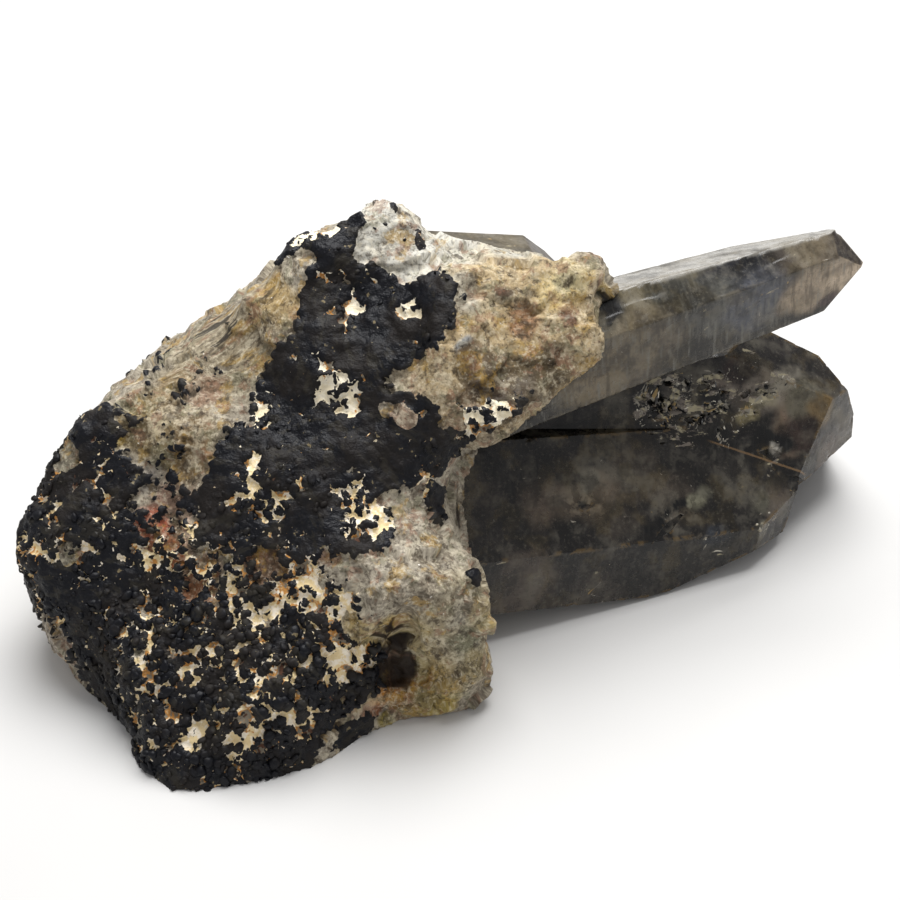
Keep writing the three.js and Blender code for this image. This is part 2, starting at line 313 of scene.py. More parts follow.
# the rock
rock = {
    "grid": 0.65 * mm,          # size of its mesh
    "quiet": 1.2 * mm,          # how near a crystal the relief dies out
    "lip": 0.35 * mm,           # how far the rock laps onto the crystals
    "sunk": 0.5 * mm,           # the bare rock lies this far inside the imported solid
    "crustRise": 0.4 * mm,
    "knobRise": 0.40 * mm,
    "knobSize": 1.9 * mm,
    "lobeRise": 0.6 * mm,
    "lobeSize": 4.8 * mm,
    "facetRise": 3.0 * mm,
    "facetSize": 8.0 * mm,
    "chipRise": 0.9 * mm,
    "chipSize": 3.2 * mm,
    "grainRise": 0.15 * mm,
    "grainSize": 1.6 * mm,
    # brush strokes in mm: place, reach, weight; a later stroke covers an earlier one
    "crust": [
        (-52, -35, 22, 36, 0.8), (-74, -18, 30, 26, 1), (-28, -38, 18, 20, 0.85),
        (-44, -50, 6, 24, 0.95), (-33, -18, 42, 18, 1), (-25, -6, 56, 16, 1.1), (-19, 6, 66, 15, 1.15),
        (-10, 4, 68, 13, 1.15), (-10, -14, 50, 12, 1), (-19, 14, 74, 8, 1), (-18, -25, 41, 9, 0.9),
        (-78, -8, 36, 14, 1), (-46, 3, 60, 13, 0), (-34, 12, 70, 8, 0.05), (-55, -1, 54, 10, 0),
        (-58, -9, 47, 8, 0.25), (-53, -12, 44, 9, 0.35), (-55, -20, 36, 10, 0.48),
        (-67, -5, 48, 6, 0.85), (-48, 2, 55, 4, 0.45), (-50, -3, 53, 4, 0.4), (-57, 9, 53, 3, 0.4),
        (-58, 2, 53, 4, 0.4), (-62, -3, 50, 5, 0.5), (-75, -8, 41, 4, 0.2), (-74, -22, 30, 3.5, 0.25),
        (-34, 7, 67, 5, 0), (-13, -10, 55, 2.6, 0), (-10, -11.5, 54.5, 2.4, 0.1),
        (-48, -29, 30, 8, 0.5), (-36, -30, 34, 6, 0.6), (-2, -37, 20, 15, 0), (-16, -38, 24, 5, 0.1),
        (3, -10, 56, 8, 0), (9, -4, 62, 14, 0.04), (16, 6, 68, 16, 0), (-6, 17, 76, 13, 0),
        (-14, 21, 80, 8, 0.1), (-1, -20, 34, 7, 0.1), (-4, -14, 46, 4, 1), (-3, -17, 40, 3.5, 1),
        (-3, -19, 36, 2.5, 0.9), (3, -31, 31, 2.5, 1), (0, -13, 51, 3.5, 0.8), (4, -12, 54, 4, 0.75),
        (8, -11, 55, 4, 0.72), (12, -9, 56, 3.5, 0.6), (7, -7, 60, 5, 0.22), (14, -4, 59, 5, 0.2),
        (20, 3, 66, 3, 0.2), (9, 5, 71, 3, 0.2), (-18, -44, 1, 6, 0.9), (-7, 15, 75, 2.2, 1),
        (-12, 20, 79, 1.5, 1), (-78, -26, 12, 7, 0.3), (-34, 13, 72, 3, 1), (-31, 15, 74, 3.5, 1),
        (-28, 16.5, 76, 3.5, 1), (-24, 15, 76.5, 3.5, 1), (-21, 17.5, 78, 3, 0.9),
        (-17, 15, 75.5, 4, 0), (-37.1, 8, 65.9, 4, 0), (-60, 30, 28, 30, 1), (-34, 44, 22, 20, 0.8),
        (-10, 42, 45, 14, 0.3), (-30, 30, 62, 16, 0.2), (-46, 14, 60, 11, 0.1), (-40, 20, 64, 10, 0),
    ],
    # how open the crust is to the clay under it
    "clay": [
        (-44, -40, 18, 30, 0.80), (-75, -15, 30, 20, 0.55), (-24, -34, 30, 10, 1.15),
        (-20, -37, 20, 9, 1.05), (-52, -25, 32, 10, 1.0), (-22, -8, 57, 7, 1.2),
        (-9, 4, 68.8, 2.8, 1.15), (-20, 10, 70, 10, 0.45), (-19.2, 6, 66.5, 2.2, 1.05),
        (-20, 11, 71, 3, 0.9), (-17, -23, 42, 8, 1.0), (-42, -50, 8, 9, 0.8), (-36, -20, 42, 9, 0.8),
        (-30, 15.5, 75, 2.6, 1.6), (-27, 17, 76.5, 2.6, 1.6), (-24, 17.5, 77, 2.2, 1.5),
        (6, -11.5, 55, 8, 1.1), (-6, -17, 42, 3, 1.3), (-38, -8, 53, 6, 0.8), (-78, -26, 12, 8, 1.0),
        (-60, 30, 28, 30, 0.6),
    ],
    # hollows, in mm of depth; below nought the rock stands out
    "dents": [
        (-11.5, -35, 18, 3.0, 0.3), (-13, -36, 13, 4.0, 0.7), (-14.3, -37.5, 25, 1.4, 1.0),
        (-19, -38.5, 20, 1.8, 1.2), (-16, -39, 17, 1.6, -0.7), (5.5, -32, 20.4, 2.8, -2.0),
        (25, 13, 71, 6, -1.6), (22, 5, 67, 3, 0.8), (15, 5, 69, 2.5, 0.8), (-13, -10, 55, 2.6, -0.7),
        (-10, -11.5, 54.5, 2.4, -0.6), (4, 8, 71, 3, 1.0), (-26, -20, 44, 4, -1.0),
        (18, -2, 61, 3, 0.8),
    ],
    # how thickly the round knobs sit
    "knobs": [
        (-48, -40, 16, 34, 0.9), (-75, -15, 30, 22, 0.45), (-20, -40, 16, 14, 0.8),
        (-30, -22, 40, 10, 0.4), (-52, -25, 32, 10, 0.5), (-22, -2, 60, 22, -0.1),
        (-60, 30, 28, 30, 0.6), (-12, 20, 79, 8, -2), (-44, 8, 62, 12, -2), (-60, 0, 52, 7, -1),
    ],
    # strokes that tint the bare rock
    "tints": [
        (10, 0, 64, 26, "#b5a07b"), (-8, 20, 78, 18, "#cbc8bd"), (14, 22, 68, 12, "#b9b6aa"),
        (19, 8, 68, 6, "#d2bb86"), (22, 10, 70, 4, "#dccb9c"), (8, -8, 58, 10, "#5a4c3a"),
        (16, -4, 58, 8, "#64563f"), (6, -10, 56, 5, "#453a30"), (14, -6, 57, 4, "#4e4233"),
        (2, -4, 65, 2, "#a2a3a2"), (9, 5, 71, 2, "#4b3a2c"), (20, 3, 66, 2.5, "#53402f"),
        (3, -5, 63, 3, "#7d6a52"), (0, 4, 70, 6, "#a8a08e"), (12, 2, 67, 4, "#a5805f"),
        (-46, 3, 60, 16, "#8d816a"), (-38, 12, 69, 8, "#9a8e78"), (-58, -6, 50, 9, "#84734f"),
        (-64, -6, 45, 4, "#b0923a"), (-53, -2, 53, 6, "#8c795a"), (-47, -3, 54, 5, "#8a705a"),
        (-34, 7, 67, 6, "#ab946a"), (-38, 7, 65, 4, "#a18a5e"), (-30, 4, 66, 3, "#a98a64"),
        (-50, -10, 46, 8, "#786549"), (-75, -8, 41, 4, "#8c8676"), (-74, -22, 30, 4, "#7d7768"),
        (-13, -10, 55, 3, "#8f887c"), (-10, -11.5, 54.5, 3, "#877462"), (-55, -23, 33, 8, "#8c5d40"),
        (-52, -17, 38, 6, "#937a69"), (-57, -21, 35, 4.5, "#99523a"), (-53, -25, 31, 4.5, "#a0623e"),
        (-56, -26, 28, 4, "#9c4a34"), (-50, -20, 36, 3, "#b99b84"), (-58, -13, 41, 4, "#9d958a"),
        (-48, -30, 29, 6, "#8a5c3e"), (-35, -30, 34, 8, "#6b4a38"), (-45, -44, 12, 10, "#7a6456"),
        (-78, -26, 12, 8, "#8f8577"), (-70, -10, 42, 8, "#77705f"), (3, -35, 20, 16, "#9b8f74"),
        (-14, -37, 22, 8, "#b5a06c"), (-6, -38, 8, 9, "#9a834f"), (-18, -42, 8, 8, "#8f826d"),
        (-1, -18, 40, 6, "#857e72"), (2, -12, 55, 6, "#8c7860"), (-9, -36, 9, 5, "#9a7434"),
        (-11.9, -37.3, 7.5, 3, "#a07a36"), (-14.8, -38.7, 8.4, 3, "#a8722e"),
        (-17.8, -39.9, 8.8, 3, "#8f7a4e"), (-11.4, -38, 4.4, 2.5, "#7a5a30"),
        (-15.9, -40.2, 4.7, 2.5, "#7d4a2c"), (-12.6, -38.6, 1.3, 2.5, "#9a8a48"),
        (-8.6, -37, 5.2, 2.4, "#8a6a3a"), (-5.6, -37.8, 7.2, 3, "#a09468"),
        (-16.7, -38.6, 24, 2.4, "#a5936a"), (-17.2, -37.8, 21.5, 2.4, "#a5936a"),
        (-17, -37.7, 17.2, 2.4, "#98875f"), (-9.2, -34.5, 18.4, 2.4, "#a99a70"),
        (-8.7, -34.4, 13.9, 2.4, "#a99a70"), (-8.5, -35.3, 11.1, 2.2, "#a08f60"),
        # the near-black strokes that follow, down to the two paler blades, are painted shade deep in the
        # cleft
        (-10.4, -35.3, 25.1, 1.7, "#33261a"), (-11, -36.1, 23.6, 2, "#261b12"),
        (-12.4, -36.8, 20.3, 2.4, "#1f160f"), (-11, -36, 17.1, 2.3, "#1f160f"),
        (-13.5, -36.7, 17, 2.4, "#1f160f"), (-10.1, -34.8, 13.5, 2.4, "#20170f"),
        (-13.2, -35.9, 14.3, 2.6, "#1d150e"), (-10.5, -35.6, 10.8, 2.4, "#2b1e13"),
        (-13.1, -36.1, 12.8, 2.6, "#221810"), (-14.4, -36.7, 13.3, 2.1, "#241a11"),
        (-10.6, -35.8, 9.3, 2, "#3a2815"), (-12.2, -36.5, 10.4, 2.2, "#2f2114"),
        (-13.1, -37.2, 10.9, 2.2, "#2b1e12"), (-15.4, -38.2, 11.5, 2, "#33241a"),
        (-17.3, -39.4, 11.1, 1.7, "#3a2a1c"), (-10.3, -34.5, 21.5, 1.7, "#261b12"),
        (-9.6, -34.8, 17.3, 1.9, "#1f160f"), (-9.5, -34.4, 14.9, 1.9, "#20170f"),
        (-10.2, -35.3, 11.1, 2, "#221810"), (-14.1, -38.3, 25.7, 1.6, "#2c2218"),
        (-13.9, -37.4, 22, 1.5, "#2c2218"), (-18, -39.2, 19.5, 2.2, "#2c2319"),
        (-13.6, -37.3, 19.3, 1.1, "#8d7a56"), (-14.8, -37, 15, 1.1, "#8d7a56"),
        (1, -12.2, 29.6, 2.4, "#1b1612"), (1.3, -11.9, 31.4, 2, "#231d17"),
        # the second, near-black stroke here is painted shade in the hollow where the rock meets the upper
        # crystal
        (29.3, 10.8, 67.7, 2.6, "#cdb784"), (29.4, 10.8, 65, 2.4, "#14100c"),
        (-15, -26, 44, 5, "#7c7568"), (1, -33, 26, 5, "#80796a"), (2, -34, 18, 5, "#79765f"),
        (6, -32, 24, 4, "#a4936a"), (8, -33, 21, 3, "#b3a06e"), (4, -34, 12, 5, "#958763"),
        (-3, -38, 4, 5, "#a39052"), (-7, -36, 17, 3, "#a99870"), (-7, -36, 24, 3, "#a3946e"),
        (12, 30, 66, 14, "#a39c8c"), (-20, 40, 40, 20, "#988d7c"), (-50, 30, 40, 20, "#8b8070"),
    ],
    "bare": "#9d9484",
    "shine": 0.22,
    # the upper left slope is combed by long streaks that run up it
    "comb": (0.78, 0.35, 0.52),
    "combReach": 0.78,
    "combed": [(-45, 8, 61, 12, 1), (-36, 12, 69, 8, 0.5), (-56, 6, 54, 7, 0.4)],
}


# no stroke is quite round: the places are stirred before they are measured
def stir(places, reach, size):
    x, y, z = (places / size).T
    shift = np.column_stack((
        np.sin(2.1 * y + 1.3 * z) + np.sin(4.7 * z - 3.9 * x + 1)
        + 0.6 * np.sin(9.1 * y + 7.3 * x),
        np.sin(2.3 * z + 1.1 * x + 2) + np.sin(5.1 * x - 4.2 * y)
        + 0.6 * np.sin(8.3 * z - 9.7 * y + 2),
        np.sin(1.9 * x + 1.5 * y + 4) + np.sin(4.3 * y - 4.9 * z + 3)
        + 0.6 * np.sin(8.9 * x + 7.9 * z + 5),
    ))
    return places + 0.5 * reach * shift


def spread(places, strokes, start):
    places = stir(places, 1.2 * mm, 8 * mm)
    values = np.full(len(places), start, np.float32)
    for x, y, z, reach, weight in strokes:
        away = np.linalg.norm(places - np.array((x, y, z)) * mm, axis=1) / (reach * mm)
        brush = np.clip((1 - away) / 0.45, 0, 1)
        values += (weight - values) * brush * brush * (3 - 2 * brush)
    return values


def spreadColours(places, strokes, start):
    channels = []
    for n in range(3):
        rows = [(x, y, z, reach, paint(card)[n]) for x, y, z, reach, card in strokes]
        channels.append(spread(places, rows, paint(start)[n]))
    return np.column_stack(channels)


def storeNumbers(piece, name, values):
    attribute = piece.data.attributes.new(name, "FLOAT", "POINT")
    attribute.data.foreach_set("value", np.asarray(values, np.float32))


def storeVectors(piece, name, values):
    attribute = piece.data.attributes.new(name, "FLOAT_VECTOR", "POINT")
    attribute.data.foreach_set("vector", np.asarray(values, np.float32).ravel())


# how far each point is from the crystals, from their faces' planes
def distanceFrom(places, nodeNames):
    nearest = np.full(len(places), 1.0)
    for nodeName in nodeNames:
        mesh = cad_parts[nodeName].data
        tree = BVHTree.FromPolygons([v.co for v in mesh.vertices], [p.vertices for p in mesh.polygons])
        low, high = (np.array(corner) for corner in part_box(nodeName))
        near = np.all((places > low - 3 * mm) & (places < high + 3 * mm), axis=1)
        for n in np.nonzero(near)[0]:
            found = tree.find_nearest(Vector(places[n]), 4 * mm)
            if found[3] is not None:
                nearest[n] = min(nearest[n], found[3])
    return nearest


# masks that the mesh and the material both read, so that colour and relief agree
def crustMasks(tree, place, crust, clay):
    masks = {}
    masks["stirred"] = warped(tree, place, 2.3 * mm, 1.1 * mm)
    masks["small"] = cellsAt(tree, masks["stirred"], rock["knobSize"])
    masks["lobes"] = cellsAt(tree, masks["stirred"], rock["lobeSize"], "SMOOTH_F1", 0.25)
    ragged = centredNoise(tree, place, 6.5 * mm, 6.0, 0.66)
    edge = addTimes(tree, ragged, 1.7, crust)
    edge = addTimes(tree, masks["small"], -0.62, calc(tree, "ADD", edge, 0.32))
    masks["crust"] = times(tree, ramp(tree, edge, 0.47, 0.53), ramp(tree, crust, 0.03, 0.12))
    loose = centredNoise(tree, place, 7 * mm, 4.0, 0.6)
    torn = centredNoise(tree, apartFrom(tree, place, 2.1), 2.4 * mm, 4.0, 0.65)
    masks["open"] = addTimes(tree, torn, 1.5, addTimes(tree, loose, 2.0, clay))
    gap = addTimes(tree, masks["lobes"], 0.35, times(tree, masks["small"], 0.7))
    gap = addTimes(tree, masks["open"], 0.34, gap)
    masks["clay"] = ramp(tree, gap, 0.875, 0.905)
    return masks


def rockRelief():
    tree, entry = meshGroup("rock relief")
    place = addNode(tree, "GeometryNodeInputPosition").outputs[0]
    normal = addNode(tree, "GeometryNodeInputNormal").outputs[0]
    values = attributesOf(tree, ("crust", "clay", "free", "low", "dent", "combed"))
    masks = crustMasks(tree, place, values["crust"], values["clay"])
    lobe = ramp(tree, masks["lobes"], 0.1, 0.8, 1.0, 0.0)
    knob = ramp(tree, masks["small"], 0.1, 0.8, 1.0, 0.0)
    crustHeight = addTimes(tree, lobe, rock["lobeRise"], rock["crustRise"])
    crustHeight = addTimes(tree, knob, rock["knobRise"], crustHeight)
    crustHeight = addTimes(tree, masks["clay"], -0.7 * mm, crustHeight)
    grain = centredNoise(tree, place, rock["grainSize"], 3.0, 0.6)
    facets = facetsAt(tree, warped(tree, place, 9 * mm, 2 * mm), rock["facetSize"])
    chips = facetsAt(tree, warped(tree, place, 4 * mm, 0.8 * mm), rock["chipSize"])
    bare = addTimes(tree, chips, rock["chipRise"], times(tree, facets, rock["facetRise"]))
    bare = addTimes(tree, grain, 2 * rock["grainRise"], bare)
    shallow = addTimes(tree, masks["crust"], -0.75, 1.0)
    height = times(tree, bare, shallow)
    height = times(tree, height, addTimes(tree, values["combed"], -0.6, 1.0))
    height = addTimes(tree, masks["crust"], crustHeight, height)
    height = calc(tree, "SUBTRACT", calc(tree, "SUBTRACT", height, rock["sunk"]), values["dent"])
    wave = centredNoise(tree, place, 3.5 * mm, 3.0, 0.6)
    lip = addTimes(tree, wave, 2.0 * mm, rock["lip"])
    held = calc(tree, "SUBTRACT", 1.0, values["free"])
    height = addTimes(tree, lip, held, times(tree, height, values["free"]))
    raiseSurface(tree, entry[0], place, normal, times(tree, height, values["low"]))
    return tree


# what every group of this script hands to a material
finish = {"Colour": "Color", "Roughness": "Float", "Height": "Float"}


# the black of the crust: blue-black, browner and duller in places
def blackCrustGroup():
    inputs = {"Place": "Vector", "Brownness": "Float"}
    tree, entry = newGroup("black crust", "ShaderNodeTree", inputs, finish)
    place = entry["Place"]
    broad = noiseAt(tree, place, 9 * mm, 3.0, 0.6)
    small = noiseAt(tree, place, 1.8 * mm, 3.0, 0.65)
    brown = addTimes(tree, entry["Brownness"], 0.3, broad)
    olive = noiseAt(tree, warped(tree, place, 30 * mm, 20 * mm, 0.0), 4 * mm, 4.0, 0.62)
    # the grey mottle #29292b is partly painted sheen, small highlights on the black; the browns and
    # specks are its own colour
    colour = layers(tree, paint("#0d0e14"), (
        (brown, 0.50, 0.66, 1.0, "#1e1a18"), (olive, 0.53, 0.60, 0.45, "#37332a"),
        (small, 0.52, 0.68, 0.55, "#29292b"), (small, 0.67, 0.70, 0.8, "#857759"),
    ))
    rough = ramp(tree, broad, 0.40, 0.62, 0.40, 0.62)
    beads = cellsAt(tree, place, 1.1 * mm)
    height = addTimes(tree, beads, -0.55, noiseAt(tree, place, 0.6 * mm, 2.0, 0.65))
    addNode(tree, "NodeGroupOutput", {"Colour": colour, "Roughness": rough, "Height": height})
    return tree


def rockMaterial(blackCrust):
    material, tree, shader = newMaterial("crusted rock")
    values = {}
    for name in ("restPlace", "crust", "clay", "tint", "combed"):
        values[name] = addNode(tree, "ShaderNodeAttribute", attribute_name=name)
    place = values["restPlace"].outputs["Vector"]
    tint = values["tint"].outputs["Color"]
    masks = crustMasks(tree, place, values["crust"].outputs["Fac"], values["clay"].outputs["Fac"])
    clayMask = times(tree, masks["clay"], masks["crust"])
    combed = values["combed"].outputs["Fac"]
    # bare rock: blotches of several colours, then grains, all drawn out along the streaks
    run = times(tree, vectors(tree, "DOT_PRODUCT", place, rock["comb"]), combed)
    run = vectors(tree, "SCALE", rock["comb"], times(tree, run, -rock["combReach"]))
    drawn = vectors(tree, "ADD", place, run)
    broad = noiseAt(tree, drawn, 9 * mm, 4.0, 0.6, 0.3)
    golden = noiseAt(tree, apartFrom(tree, drawn, 0.3), 5.5 * mm, 4.0, 0.64, 0.2)
    pink = noiseAt(tree, apartFrom(tree, drawn, 0.6), 3.6 * mm, 4.0, 0.66, 0.2)
    green = noiseAt(tree, apartFrom(tree, drawn, 0.9), 4.5 * mm, 4.0, 0.66, 0.2)
    flecks = noiseAt(tree, apartFrom(tree, drawn, 1.2), 1.5 * mm, 3.0, 0.65)
    fine = noiseAt(tree, place, 0.75 * mm, 2.0, 0.65)
    bright = addNode(tree, "ShaderNodeRGBToBW", {0: tint}).outputs[0]
    lighter = mixColour(tree, ramp(tree, bright, 0.02, 0.12, 0.05, 0.5), tint, paint("#f3e8cc"))
    colour = layers(tree, tint, (
        (broad, 0.51, 0.59, 0.5, "#665a47"), (golden, 0.54, 0.62, 0.6, "#ab8a46"),
        (golden, 0.45, 0.38, 0.5, lighter), (green, 0.54, 0.62, 0.6, "#77745c"),
        (pink, 0.55, 0.62, 0.55, "#8d6852"), (pink, 0.42, 0.35, 0.75, "#463b2e"),
        (flecks, 0.54, 0.66, 0.65, lighter), (flecks, 0.45, 0.33, 0.65, "#3e3327"),
        (fine, 0.52, 0.72, 0.55, lighter), (fine, 0.48, 0.28, 0.55, "#3f3529"),
    ))
    dark = noiseAt(tree, apartFrom(tree, drawn, 1.5), 2.6 * mm, 3.0, 0.6)
    dark = times(tree, ramp(tree, dark, 0.59, 0.62), combed)
    colour = mixColour(tree, times(tree, dark, 0.85), colour, paint("#2b2723"))
    colour = mixColour(tree, ramp(tree, bright, 0.01, 0.08, 0.25, 1.0), tint, colour)
    blots = noiseAt(tree, apartFrom(tree, drawn, 2.4), 5 * mm, 5.0, 0.68)
    blots = times(tree, ramp(tree, blots, 0.58, 0.64), ramp(tree, bright, 0.5, 0.25, 0.2, 0.6))
    colour = mixColour(tree, blots, colour, paint("#3a2f23"))
    # tiny white specks on the bare rock: painted glints
    paintedSparkle = ramp(tree, noiseAt(tree, apartFrom(tree, place, 1.8), 1.1 * mm, 1.0, 0.5), 0.79, 0.82)
    colour = mixColour(tree, paintedSparkle, colour, paint("#fffaf0"))
    # crust over it
    black = addNode(tree, "ShaderNodeGroup", {}, node_tree=blackCrust)
    tree.links.new(place, black.inputs["Place"])
    black.inputs["Brownness"].default_value = 0.2
    colour = mixColour(tree, masks["crust"], colour, black.outputs["Colour"])
    # clay, stained rock and grey quartz in the gaps of the crust
    kinds = noiseAt(tree, place, 4.5 * mm, 3.0, 0.6)
    kinds = addTimes(tree, masks["open"], -0.12, kinds)
    # cream clay with near-white flecks, which are partly painted highlights
    cream = mixColour(tree, ramp(tree, flecks, 0.45, 0.6), paint("#ecd5a4"), paint("#fdf2de"))
    # the clay is paler high up
    height = addNode(tree, "ShaderNodeSeparateXYZ", {0: place}).outputs["Z"]
    cream = layers(tree, cream, ((height, 42 * mm, 56 * mm, 0.65, "#fff7e0"),))
    gapColour = layers(tree, cream, (
        (kinds, 0.43, 0.46, 1.0, "#c58d4c"), (kinds, 0.47, 0.50, 1.0, "#857c6c"),
        (kinds, 0.53, 0.57, 1.0, "#5b4032"),
    ))
    colour = mixColour(tree, clayMask, colour, gapColour)
    # and many tiny windows between the knobs
    tiny = cellsAt(tree, masks["stirred"], 0.95 * mm)
    tiny = addTimes(tree, tiny, 0.6, times(tree, masks["open"], 0.13))
    tiny = addTimes(tree, noiseAt(tree, place, 3 * mm, 3.0, 0.6), 0.45, tiny)
    tiny = times(tree, ramp(tree, tiny, 0.84, 0.87), masks["crust"])
    colour = mixColour(tree, times(tree, tiny, 0.85), colour, mixColour(tree, 0.5, gapColour, cream))
    tree.links.new(colour, shader.inputs["Base Color"])
    rough = addTimes(tree, ramp(tree, golden, 0.4, 0.6), 0.25, 0.45)
    rough = mixColour(tree, masks["crust"], rough, black.outputs["Roughness"])
    rough = mixColour(tree, clayMask, rough, (0.85, 0.85, 0.85, 1))
    tree.links.new(rough, shader.inputs["Roughness"])
    shader.inputs["Specular IOR Level"].default_value = rock["shine"]
    height = addTimes(tree, facetsAt(tree, place, 1.7 * mm), 0.6, times(tree, fine, 0.6))
    height = addTimes(tree, facetsAt(tree, place, 0.9 * mm), 0.4, height)
    mostly = ramp(tree, values["crust"].outputs["Fac"], 0.35, 0.6)
    height = mixColour(tree, mostly, height, black.outputs["Height"])
    bump = addNode(tree, "ShaderNodeBump", {"Strength": 0.75, "Distance": 0.35 * mm, "Height": height})
    tree.links.new(bump.outputs[0], shader.inputs["Normal"])
    return material


def addRock(blackCrust):
    piece = copyOf("matrix", "crusted_rock")
    applyModifier(piece, "REMESH", "even mesh", mode="VOXEL", voxel_size=rock["grid"])
    places = cornersOf(piece)
    away = distanceFrom(places, ("upper_crystal", "lower_crystals", "back_crystal"))
    storeNumbers(piece, "free", np.clip((away - 0.5 * mm) / rock["quiet"], 0, 1))
    storeNumbers(piece, "low", np.clip((places[:, 2] - 0.2 * mm) / (1.5 * mm), 0, 1))
    for name in ("crust", "clay", "knobs", "combed"):
        storeNumbers(piece, name, spread(places, rock[name], 0))
    storeNumbers(piece, "dent", spread(places, rock["dents"], 0) * mm)
    storeVectors(piece, "tint", spreadColours(places, rock["tints"], rock["bare"]))
    applyGroup(piece, "relief", rockRelief())
    # the flat base needs no fine mesh
    selectOnly(piece)
    bpy.ops.object.mode_set(mode="EDIT")
    bpy.ops.mesh.select_all(action="DESELECT")
    bpy.ops.object.mode_set(mode="OBJECT")
    for face in piece.data.polygons:
        face.select = face.normal.z < -0.999 and face.center.z < 0.1 * mm
    bpy.ops.object.mode_set(mode="EDIT")
    bpy.ops.mesh.dissolve_limited(angle_limit=math.radians(1), use_dissolve_boundaries=False)
    bpy.ops.object.mode_set(mode="OBJECT")
    bpy.ops.object.shade_smooth()
    piece.data.materials.append(rockMaterial(blackCrust))
    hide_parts("matrix")
    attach(piece, "root")
    piece.data.calc_loop_triangles()
    print("rock made,", len(piece.data.loop_triangles), "triangles")
    return piece


# round knobs that stand on the crust
knobs = {
    "apart": 1.05 * mm,
    "crowding": 1.6,
    "radius": (0.35 * mm, 1.25 * mm),
    "squash": 0.55,
    "wobble": 0.45 * mm,
    "bend": 0.9 * mm,
    "seed": 4,
}


def randomNumber(tree, seed):
    return addNode(tree, "FunctionNodeRandomValue", {"Seed": seed}, data_type="FLOAT").outputs[1]


def knobTree(ground):
    tree = meshGroup("knobs")[0]
    source = addNode(tree, "GeometryNodeObjectInfo", {"Object": ground})
    spots = addNode(tree, "GeometryNodeDistributePointsOnFaces", {
        "Mesh": source.outputs["Geometry"], "Distance Min": knobs["apart"],
        "Density Max": knobs["crowding"] / knobs["apart"] ** 2, "Seed": knobs["seed"],
    }, distribute_method="POISSON")
    values = attributesOf(tree, ("crust", "clay", "knobs", "free"))
    values |= attributesOf(tree, ("restPlace",), "FLOAT_VECTOR")
    masks = crustMasks(tree, values["restPlace"], values["crust"], values["clay"])
    patch = centredNoise(tree, values["restPlace"], 8 * mm, 3.0)
    thick = addTimes(tree, patch, 3.2, values["knobs"])
    thick = times(tree, thick, addTimes(tree, masks["clay"], -0.93, masks["crust"]))
    thick = times(tree, thick, values["free"])
    chance = randomNumber(tree, knobs["seed"] + 1)
    dropped = calc(tree, "GREATER_THAN", chance, thick)
    bare = addNode(tree, "GeometryNodeDeleteGeometry", {
        "Geometry": spots.outputs["Points"], "Selection": dropped,
    }, domain="POINT")
    ball = addNode(tree, "GeometryNodeMeshIcoSphere", {"Radius": 1.0, "Subdivisions": 2})
    share = randomNumber(tree, knobs["seed"] + 2)
    share = times(tree, calc(tree, "POWER", share, 1.7), calc(tree, "MINIMUM", thick, 1.0))
    size = addTimes(tree, share, knobs["radius"][1] - knobs["radius"][0], knobs["radius"][0])
    flat = vectors(tree, "SCALE", (1.0, 1.0, knobs["squash"]), size)
    placed = addNode(tree, "GeometryNodeInstanceOnPoints", {
        "Points": bare.outputs[0], "Instance": ball.outputs["Mesh"],
        "Rotation": spots.outputs["Rotation"], "Scale": flat,
    })
    whole = addNode(tree, "GeometryNodeRealizeInstances", {"Geometry": placed.outputs[0]})
    place = addNode(tree, "GeometryNodeInputPosition").outputs[0]
    normal = addNode(tree, "GeometryNodeInputNormal").outputs[0]
    uneven = centredNoise(tree, place, 1.3 * mm)
    offset = vectors(tree, "SCALE", normal, times(tree, uneven, 2 * knobs["wobble"]))
    bent = vectors(tree, "ADD", warped(tree, place, 2.2 * mm, knobs["bend"]), offset)
    moved = addNode(tree, "GeometryNodeSetPosition", {"Geometry": whole.outputs[0], "Position": bent})
    addNode(tree, "NodeGroupOutput", {0: moved.outputs[0]})
    return tree


def addKnobs(ground, blackCrust):
    bpy.ops.object.select_all(action="DESELECT")
    bpy.ops.mesh.primitive_ico_sphere_add(subdivisions=2, radius=knobs["radius"][0])
    piece = bpy.context.object
    piece.name = "crust_knobs"
    applyGroup(piece, "knobs", knobTree(ground))
    bpy.ops.object.shade_smooth()
    material, tree, shader = newMaterial("black knobs")
    black = addNode(tree, "ShaderNodeGroup", {}, node_tree=blackCrust)
    tree.links.new(addNode(tree, "ShaderNodeTexCoord").outputs["Object"], black.inputs["Place"])
    black.inputs["Brownness"].default_value = 0.1
    tree.links.new(black.outputs["Colour"], shader.inputs["Base Color"])
    tree.links.new(black.outputs["Roughness"], shader.inputs["Roughness"])
    shader.inputs["Specular IOR Level"].default_value = rock["shine"]
    bump = addNode(tree, "ShaderNodeBump", {
        "Strength": 0.4, "Distance": 0.2 * mm, "Height": black.outputs["Height"],
    })
    tree.links.new(bump.outputs[0], shader.inputs["Normal"])
    piece.data.materials.clear()
    piece.data.materials.append(material)
    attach(piece, "root")
    print("knobs made,", len(piece.data.polygons), "faces")


blackCrust = blackCrustGroup()
addKnobs(addRock(blackCrust), blackCrust)

# the ways that two faces look: the small facet at the upper crystal's tip, which is given painted shade,
# and its lower face
shadedTipFacet = (0.7, -0.31, 0.64)
lowerFace = (0.42, -0.9, -0.08)
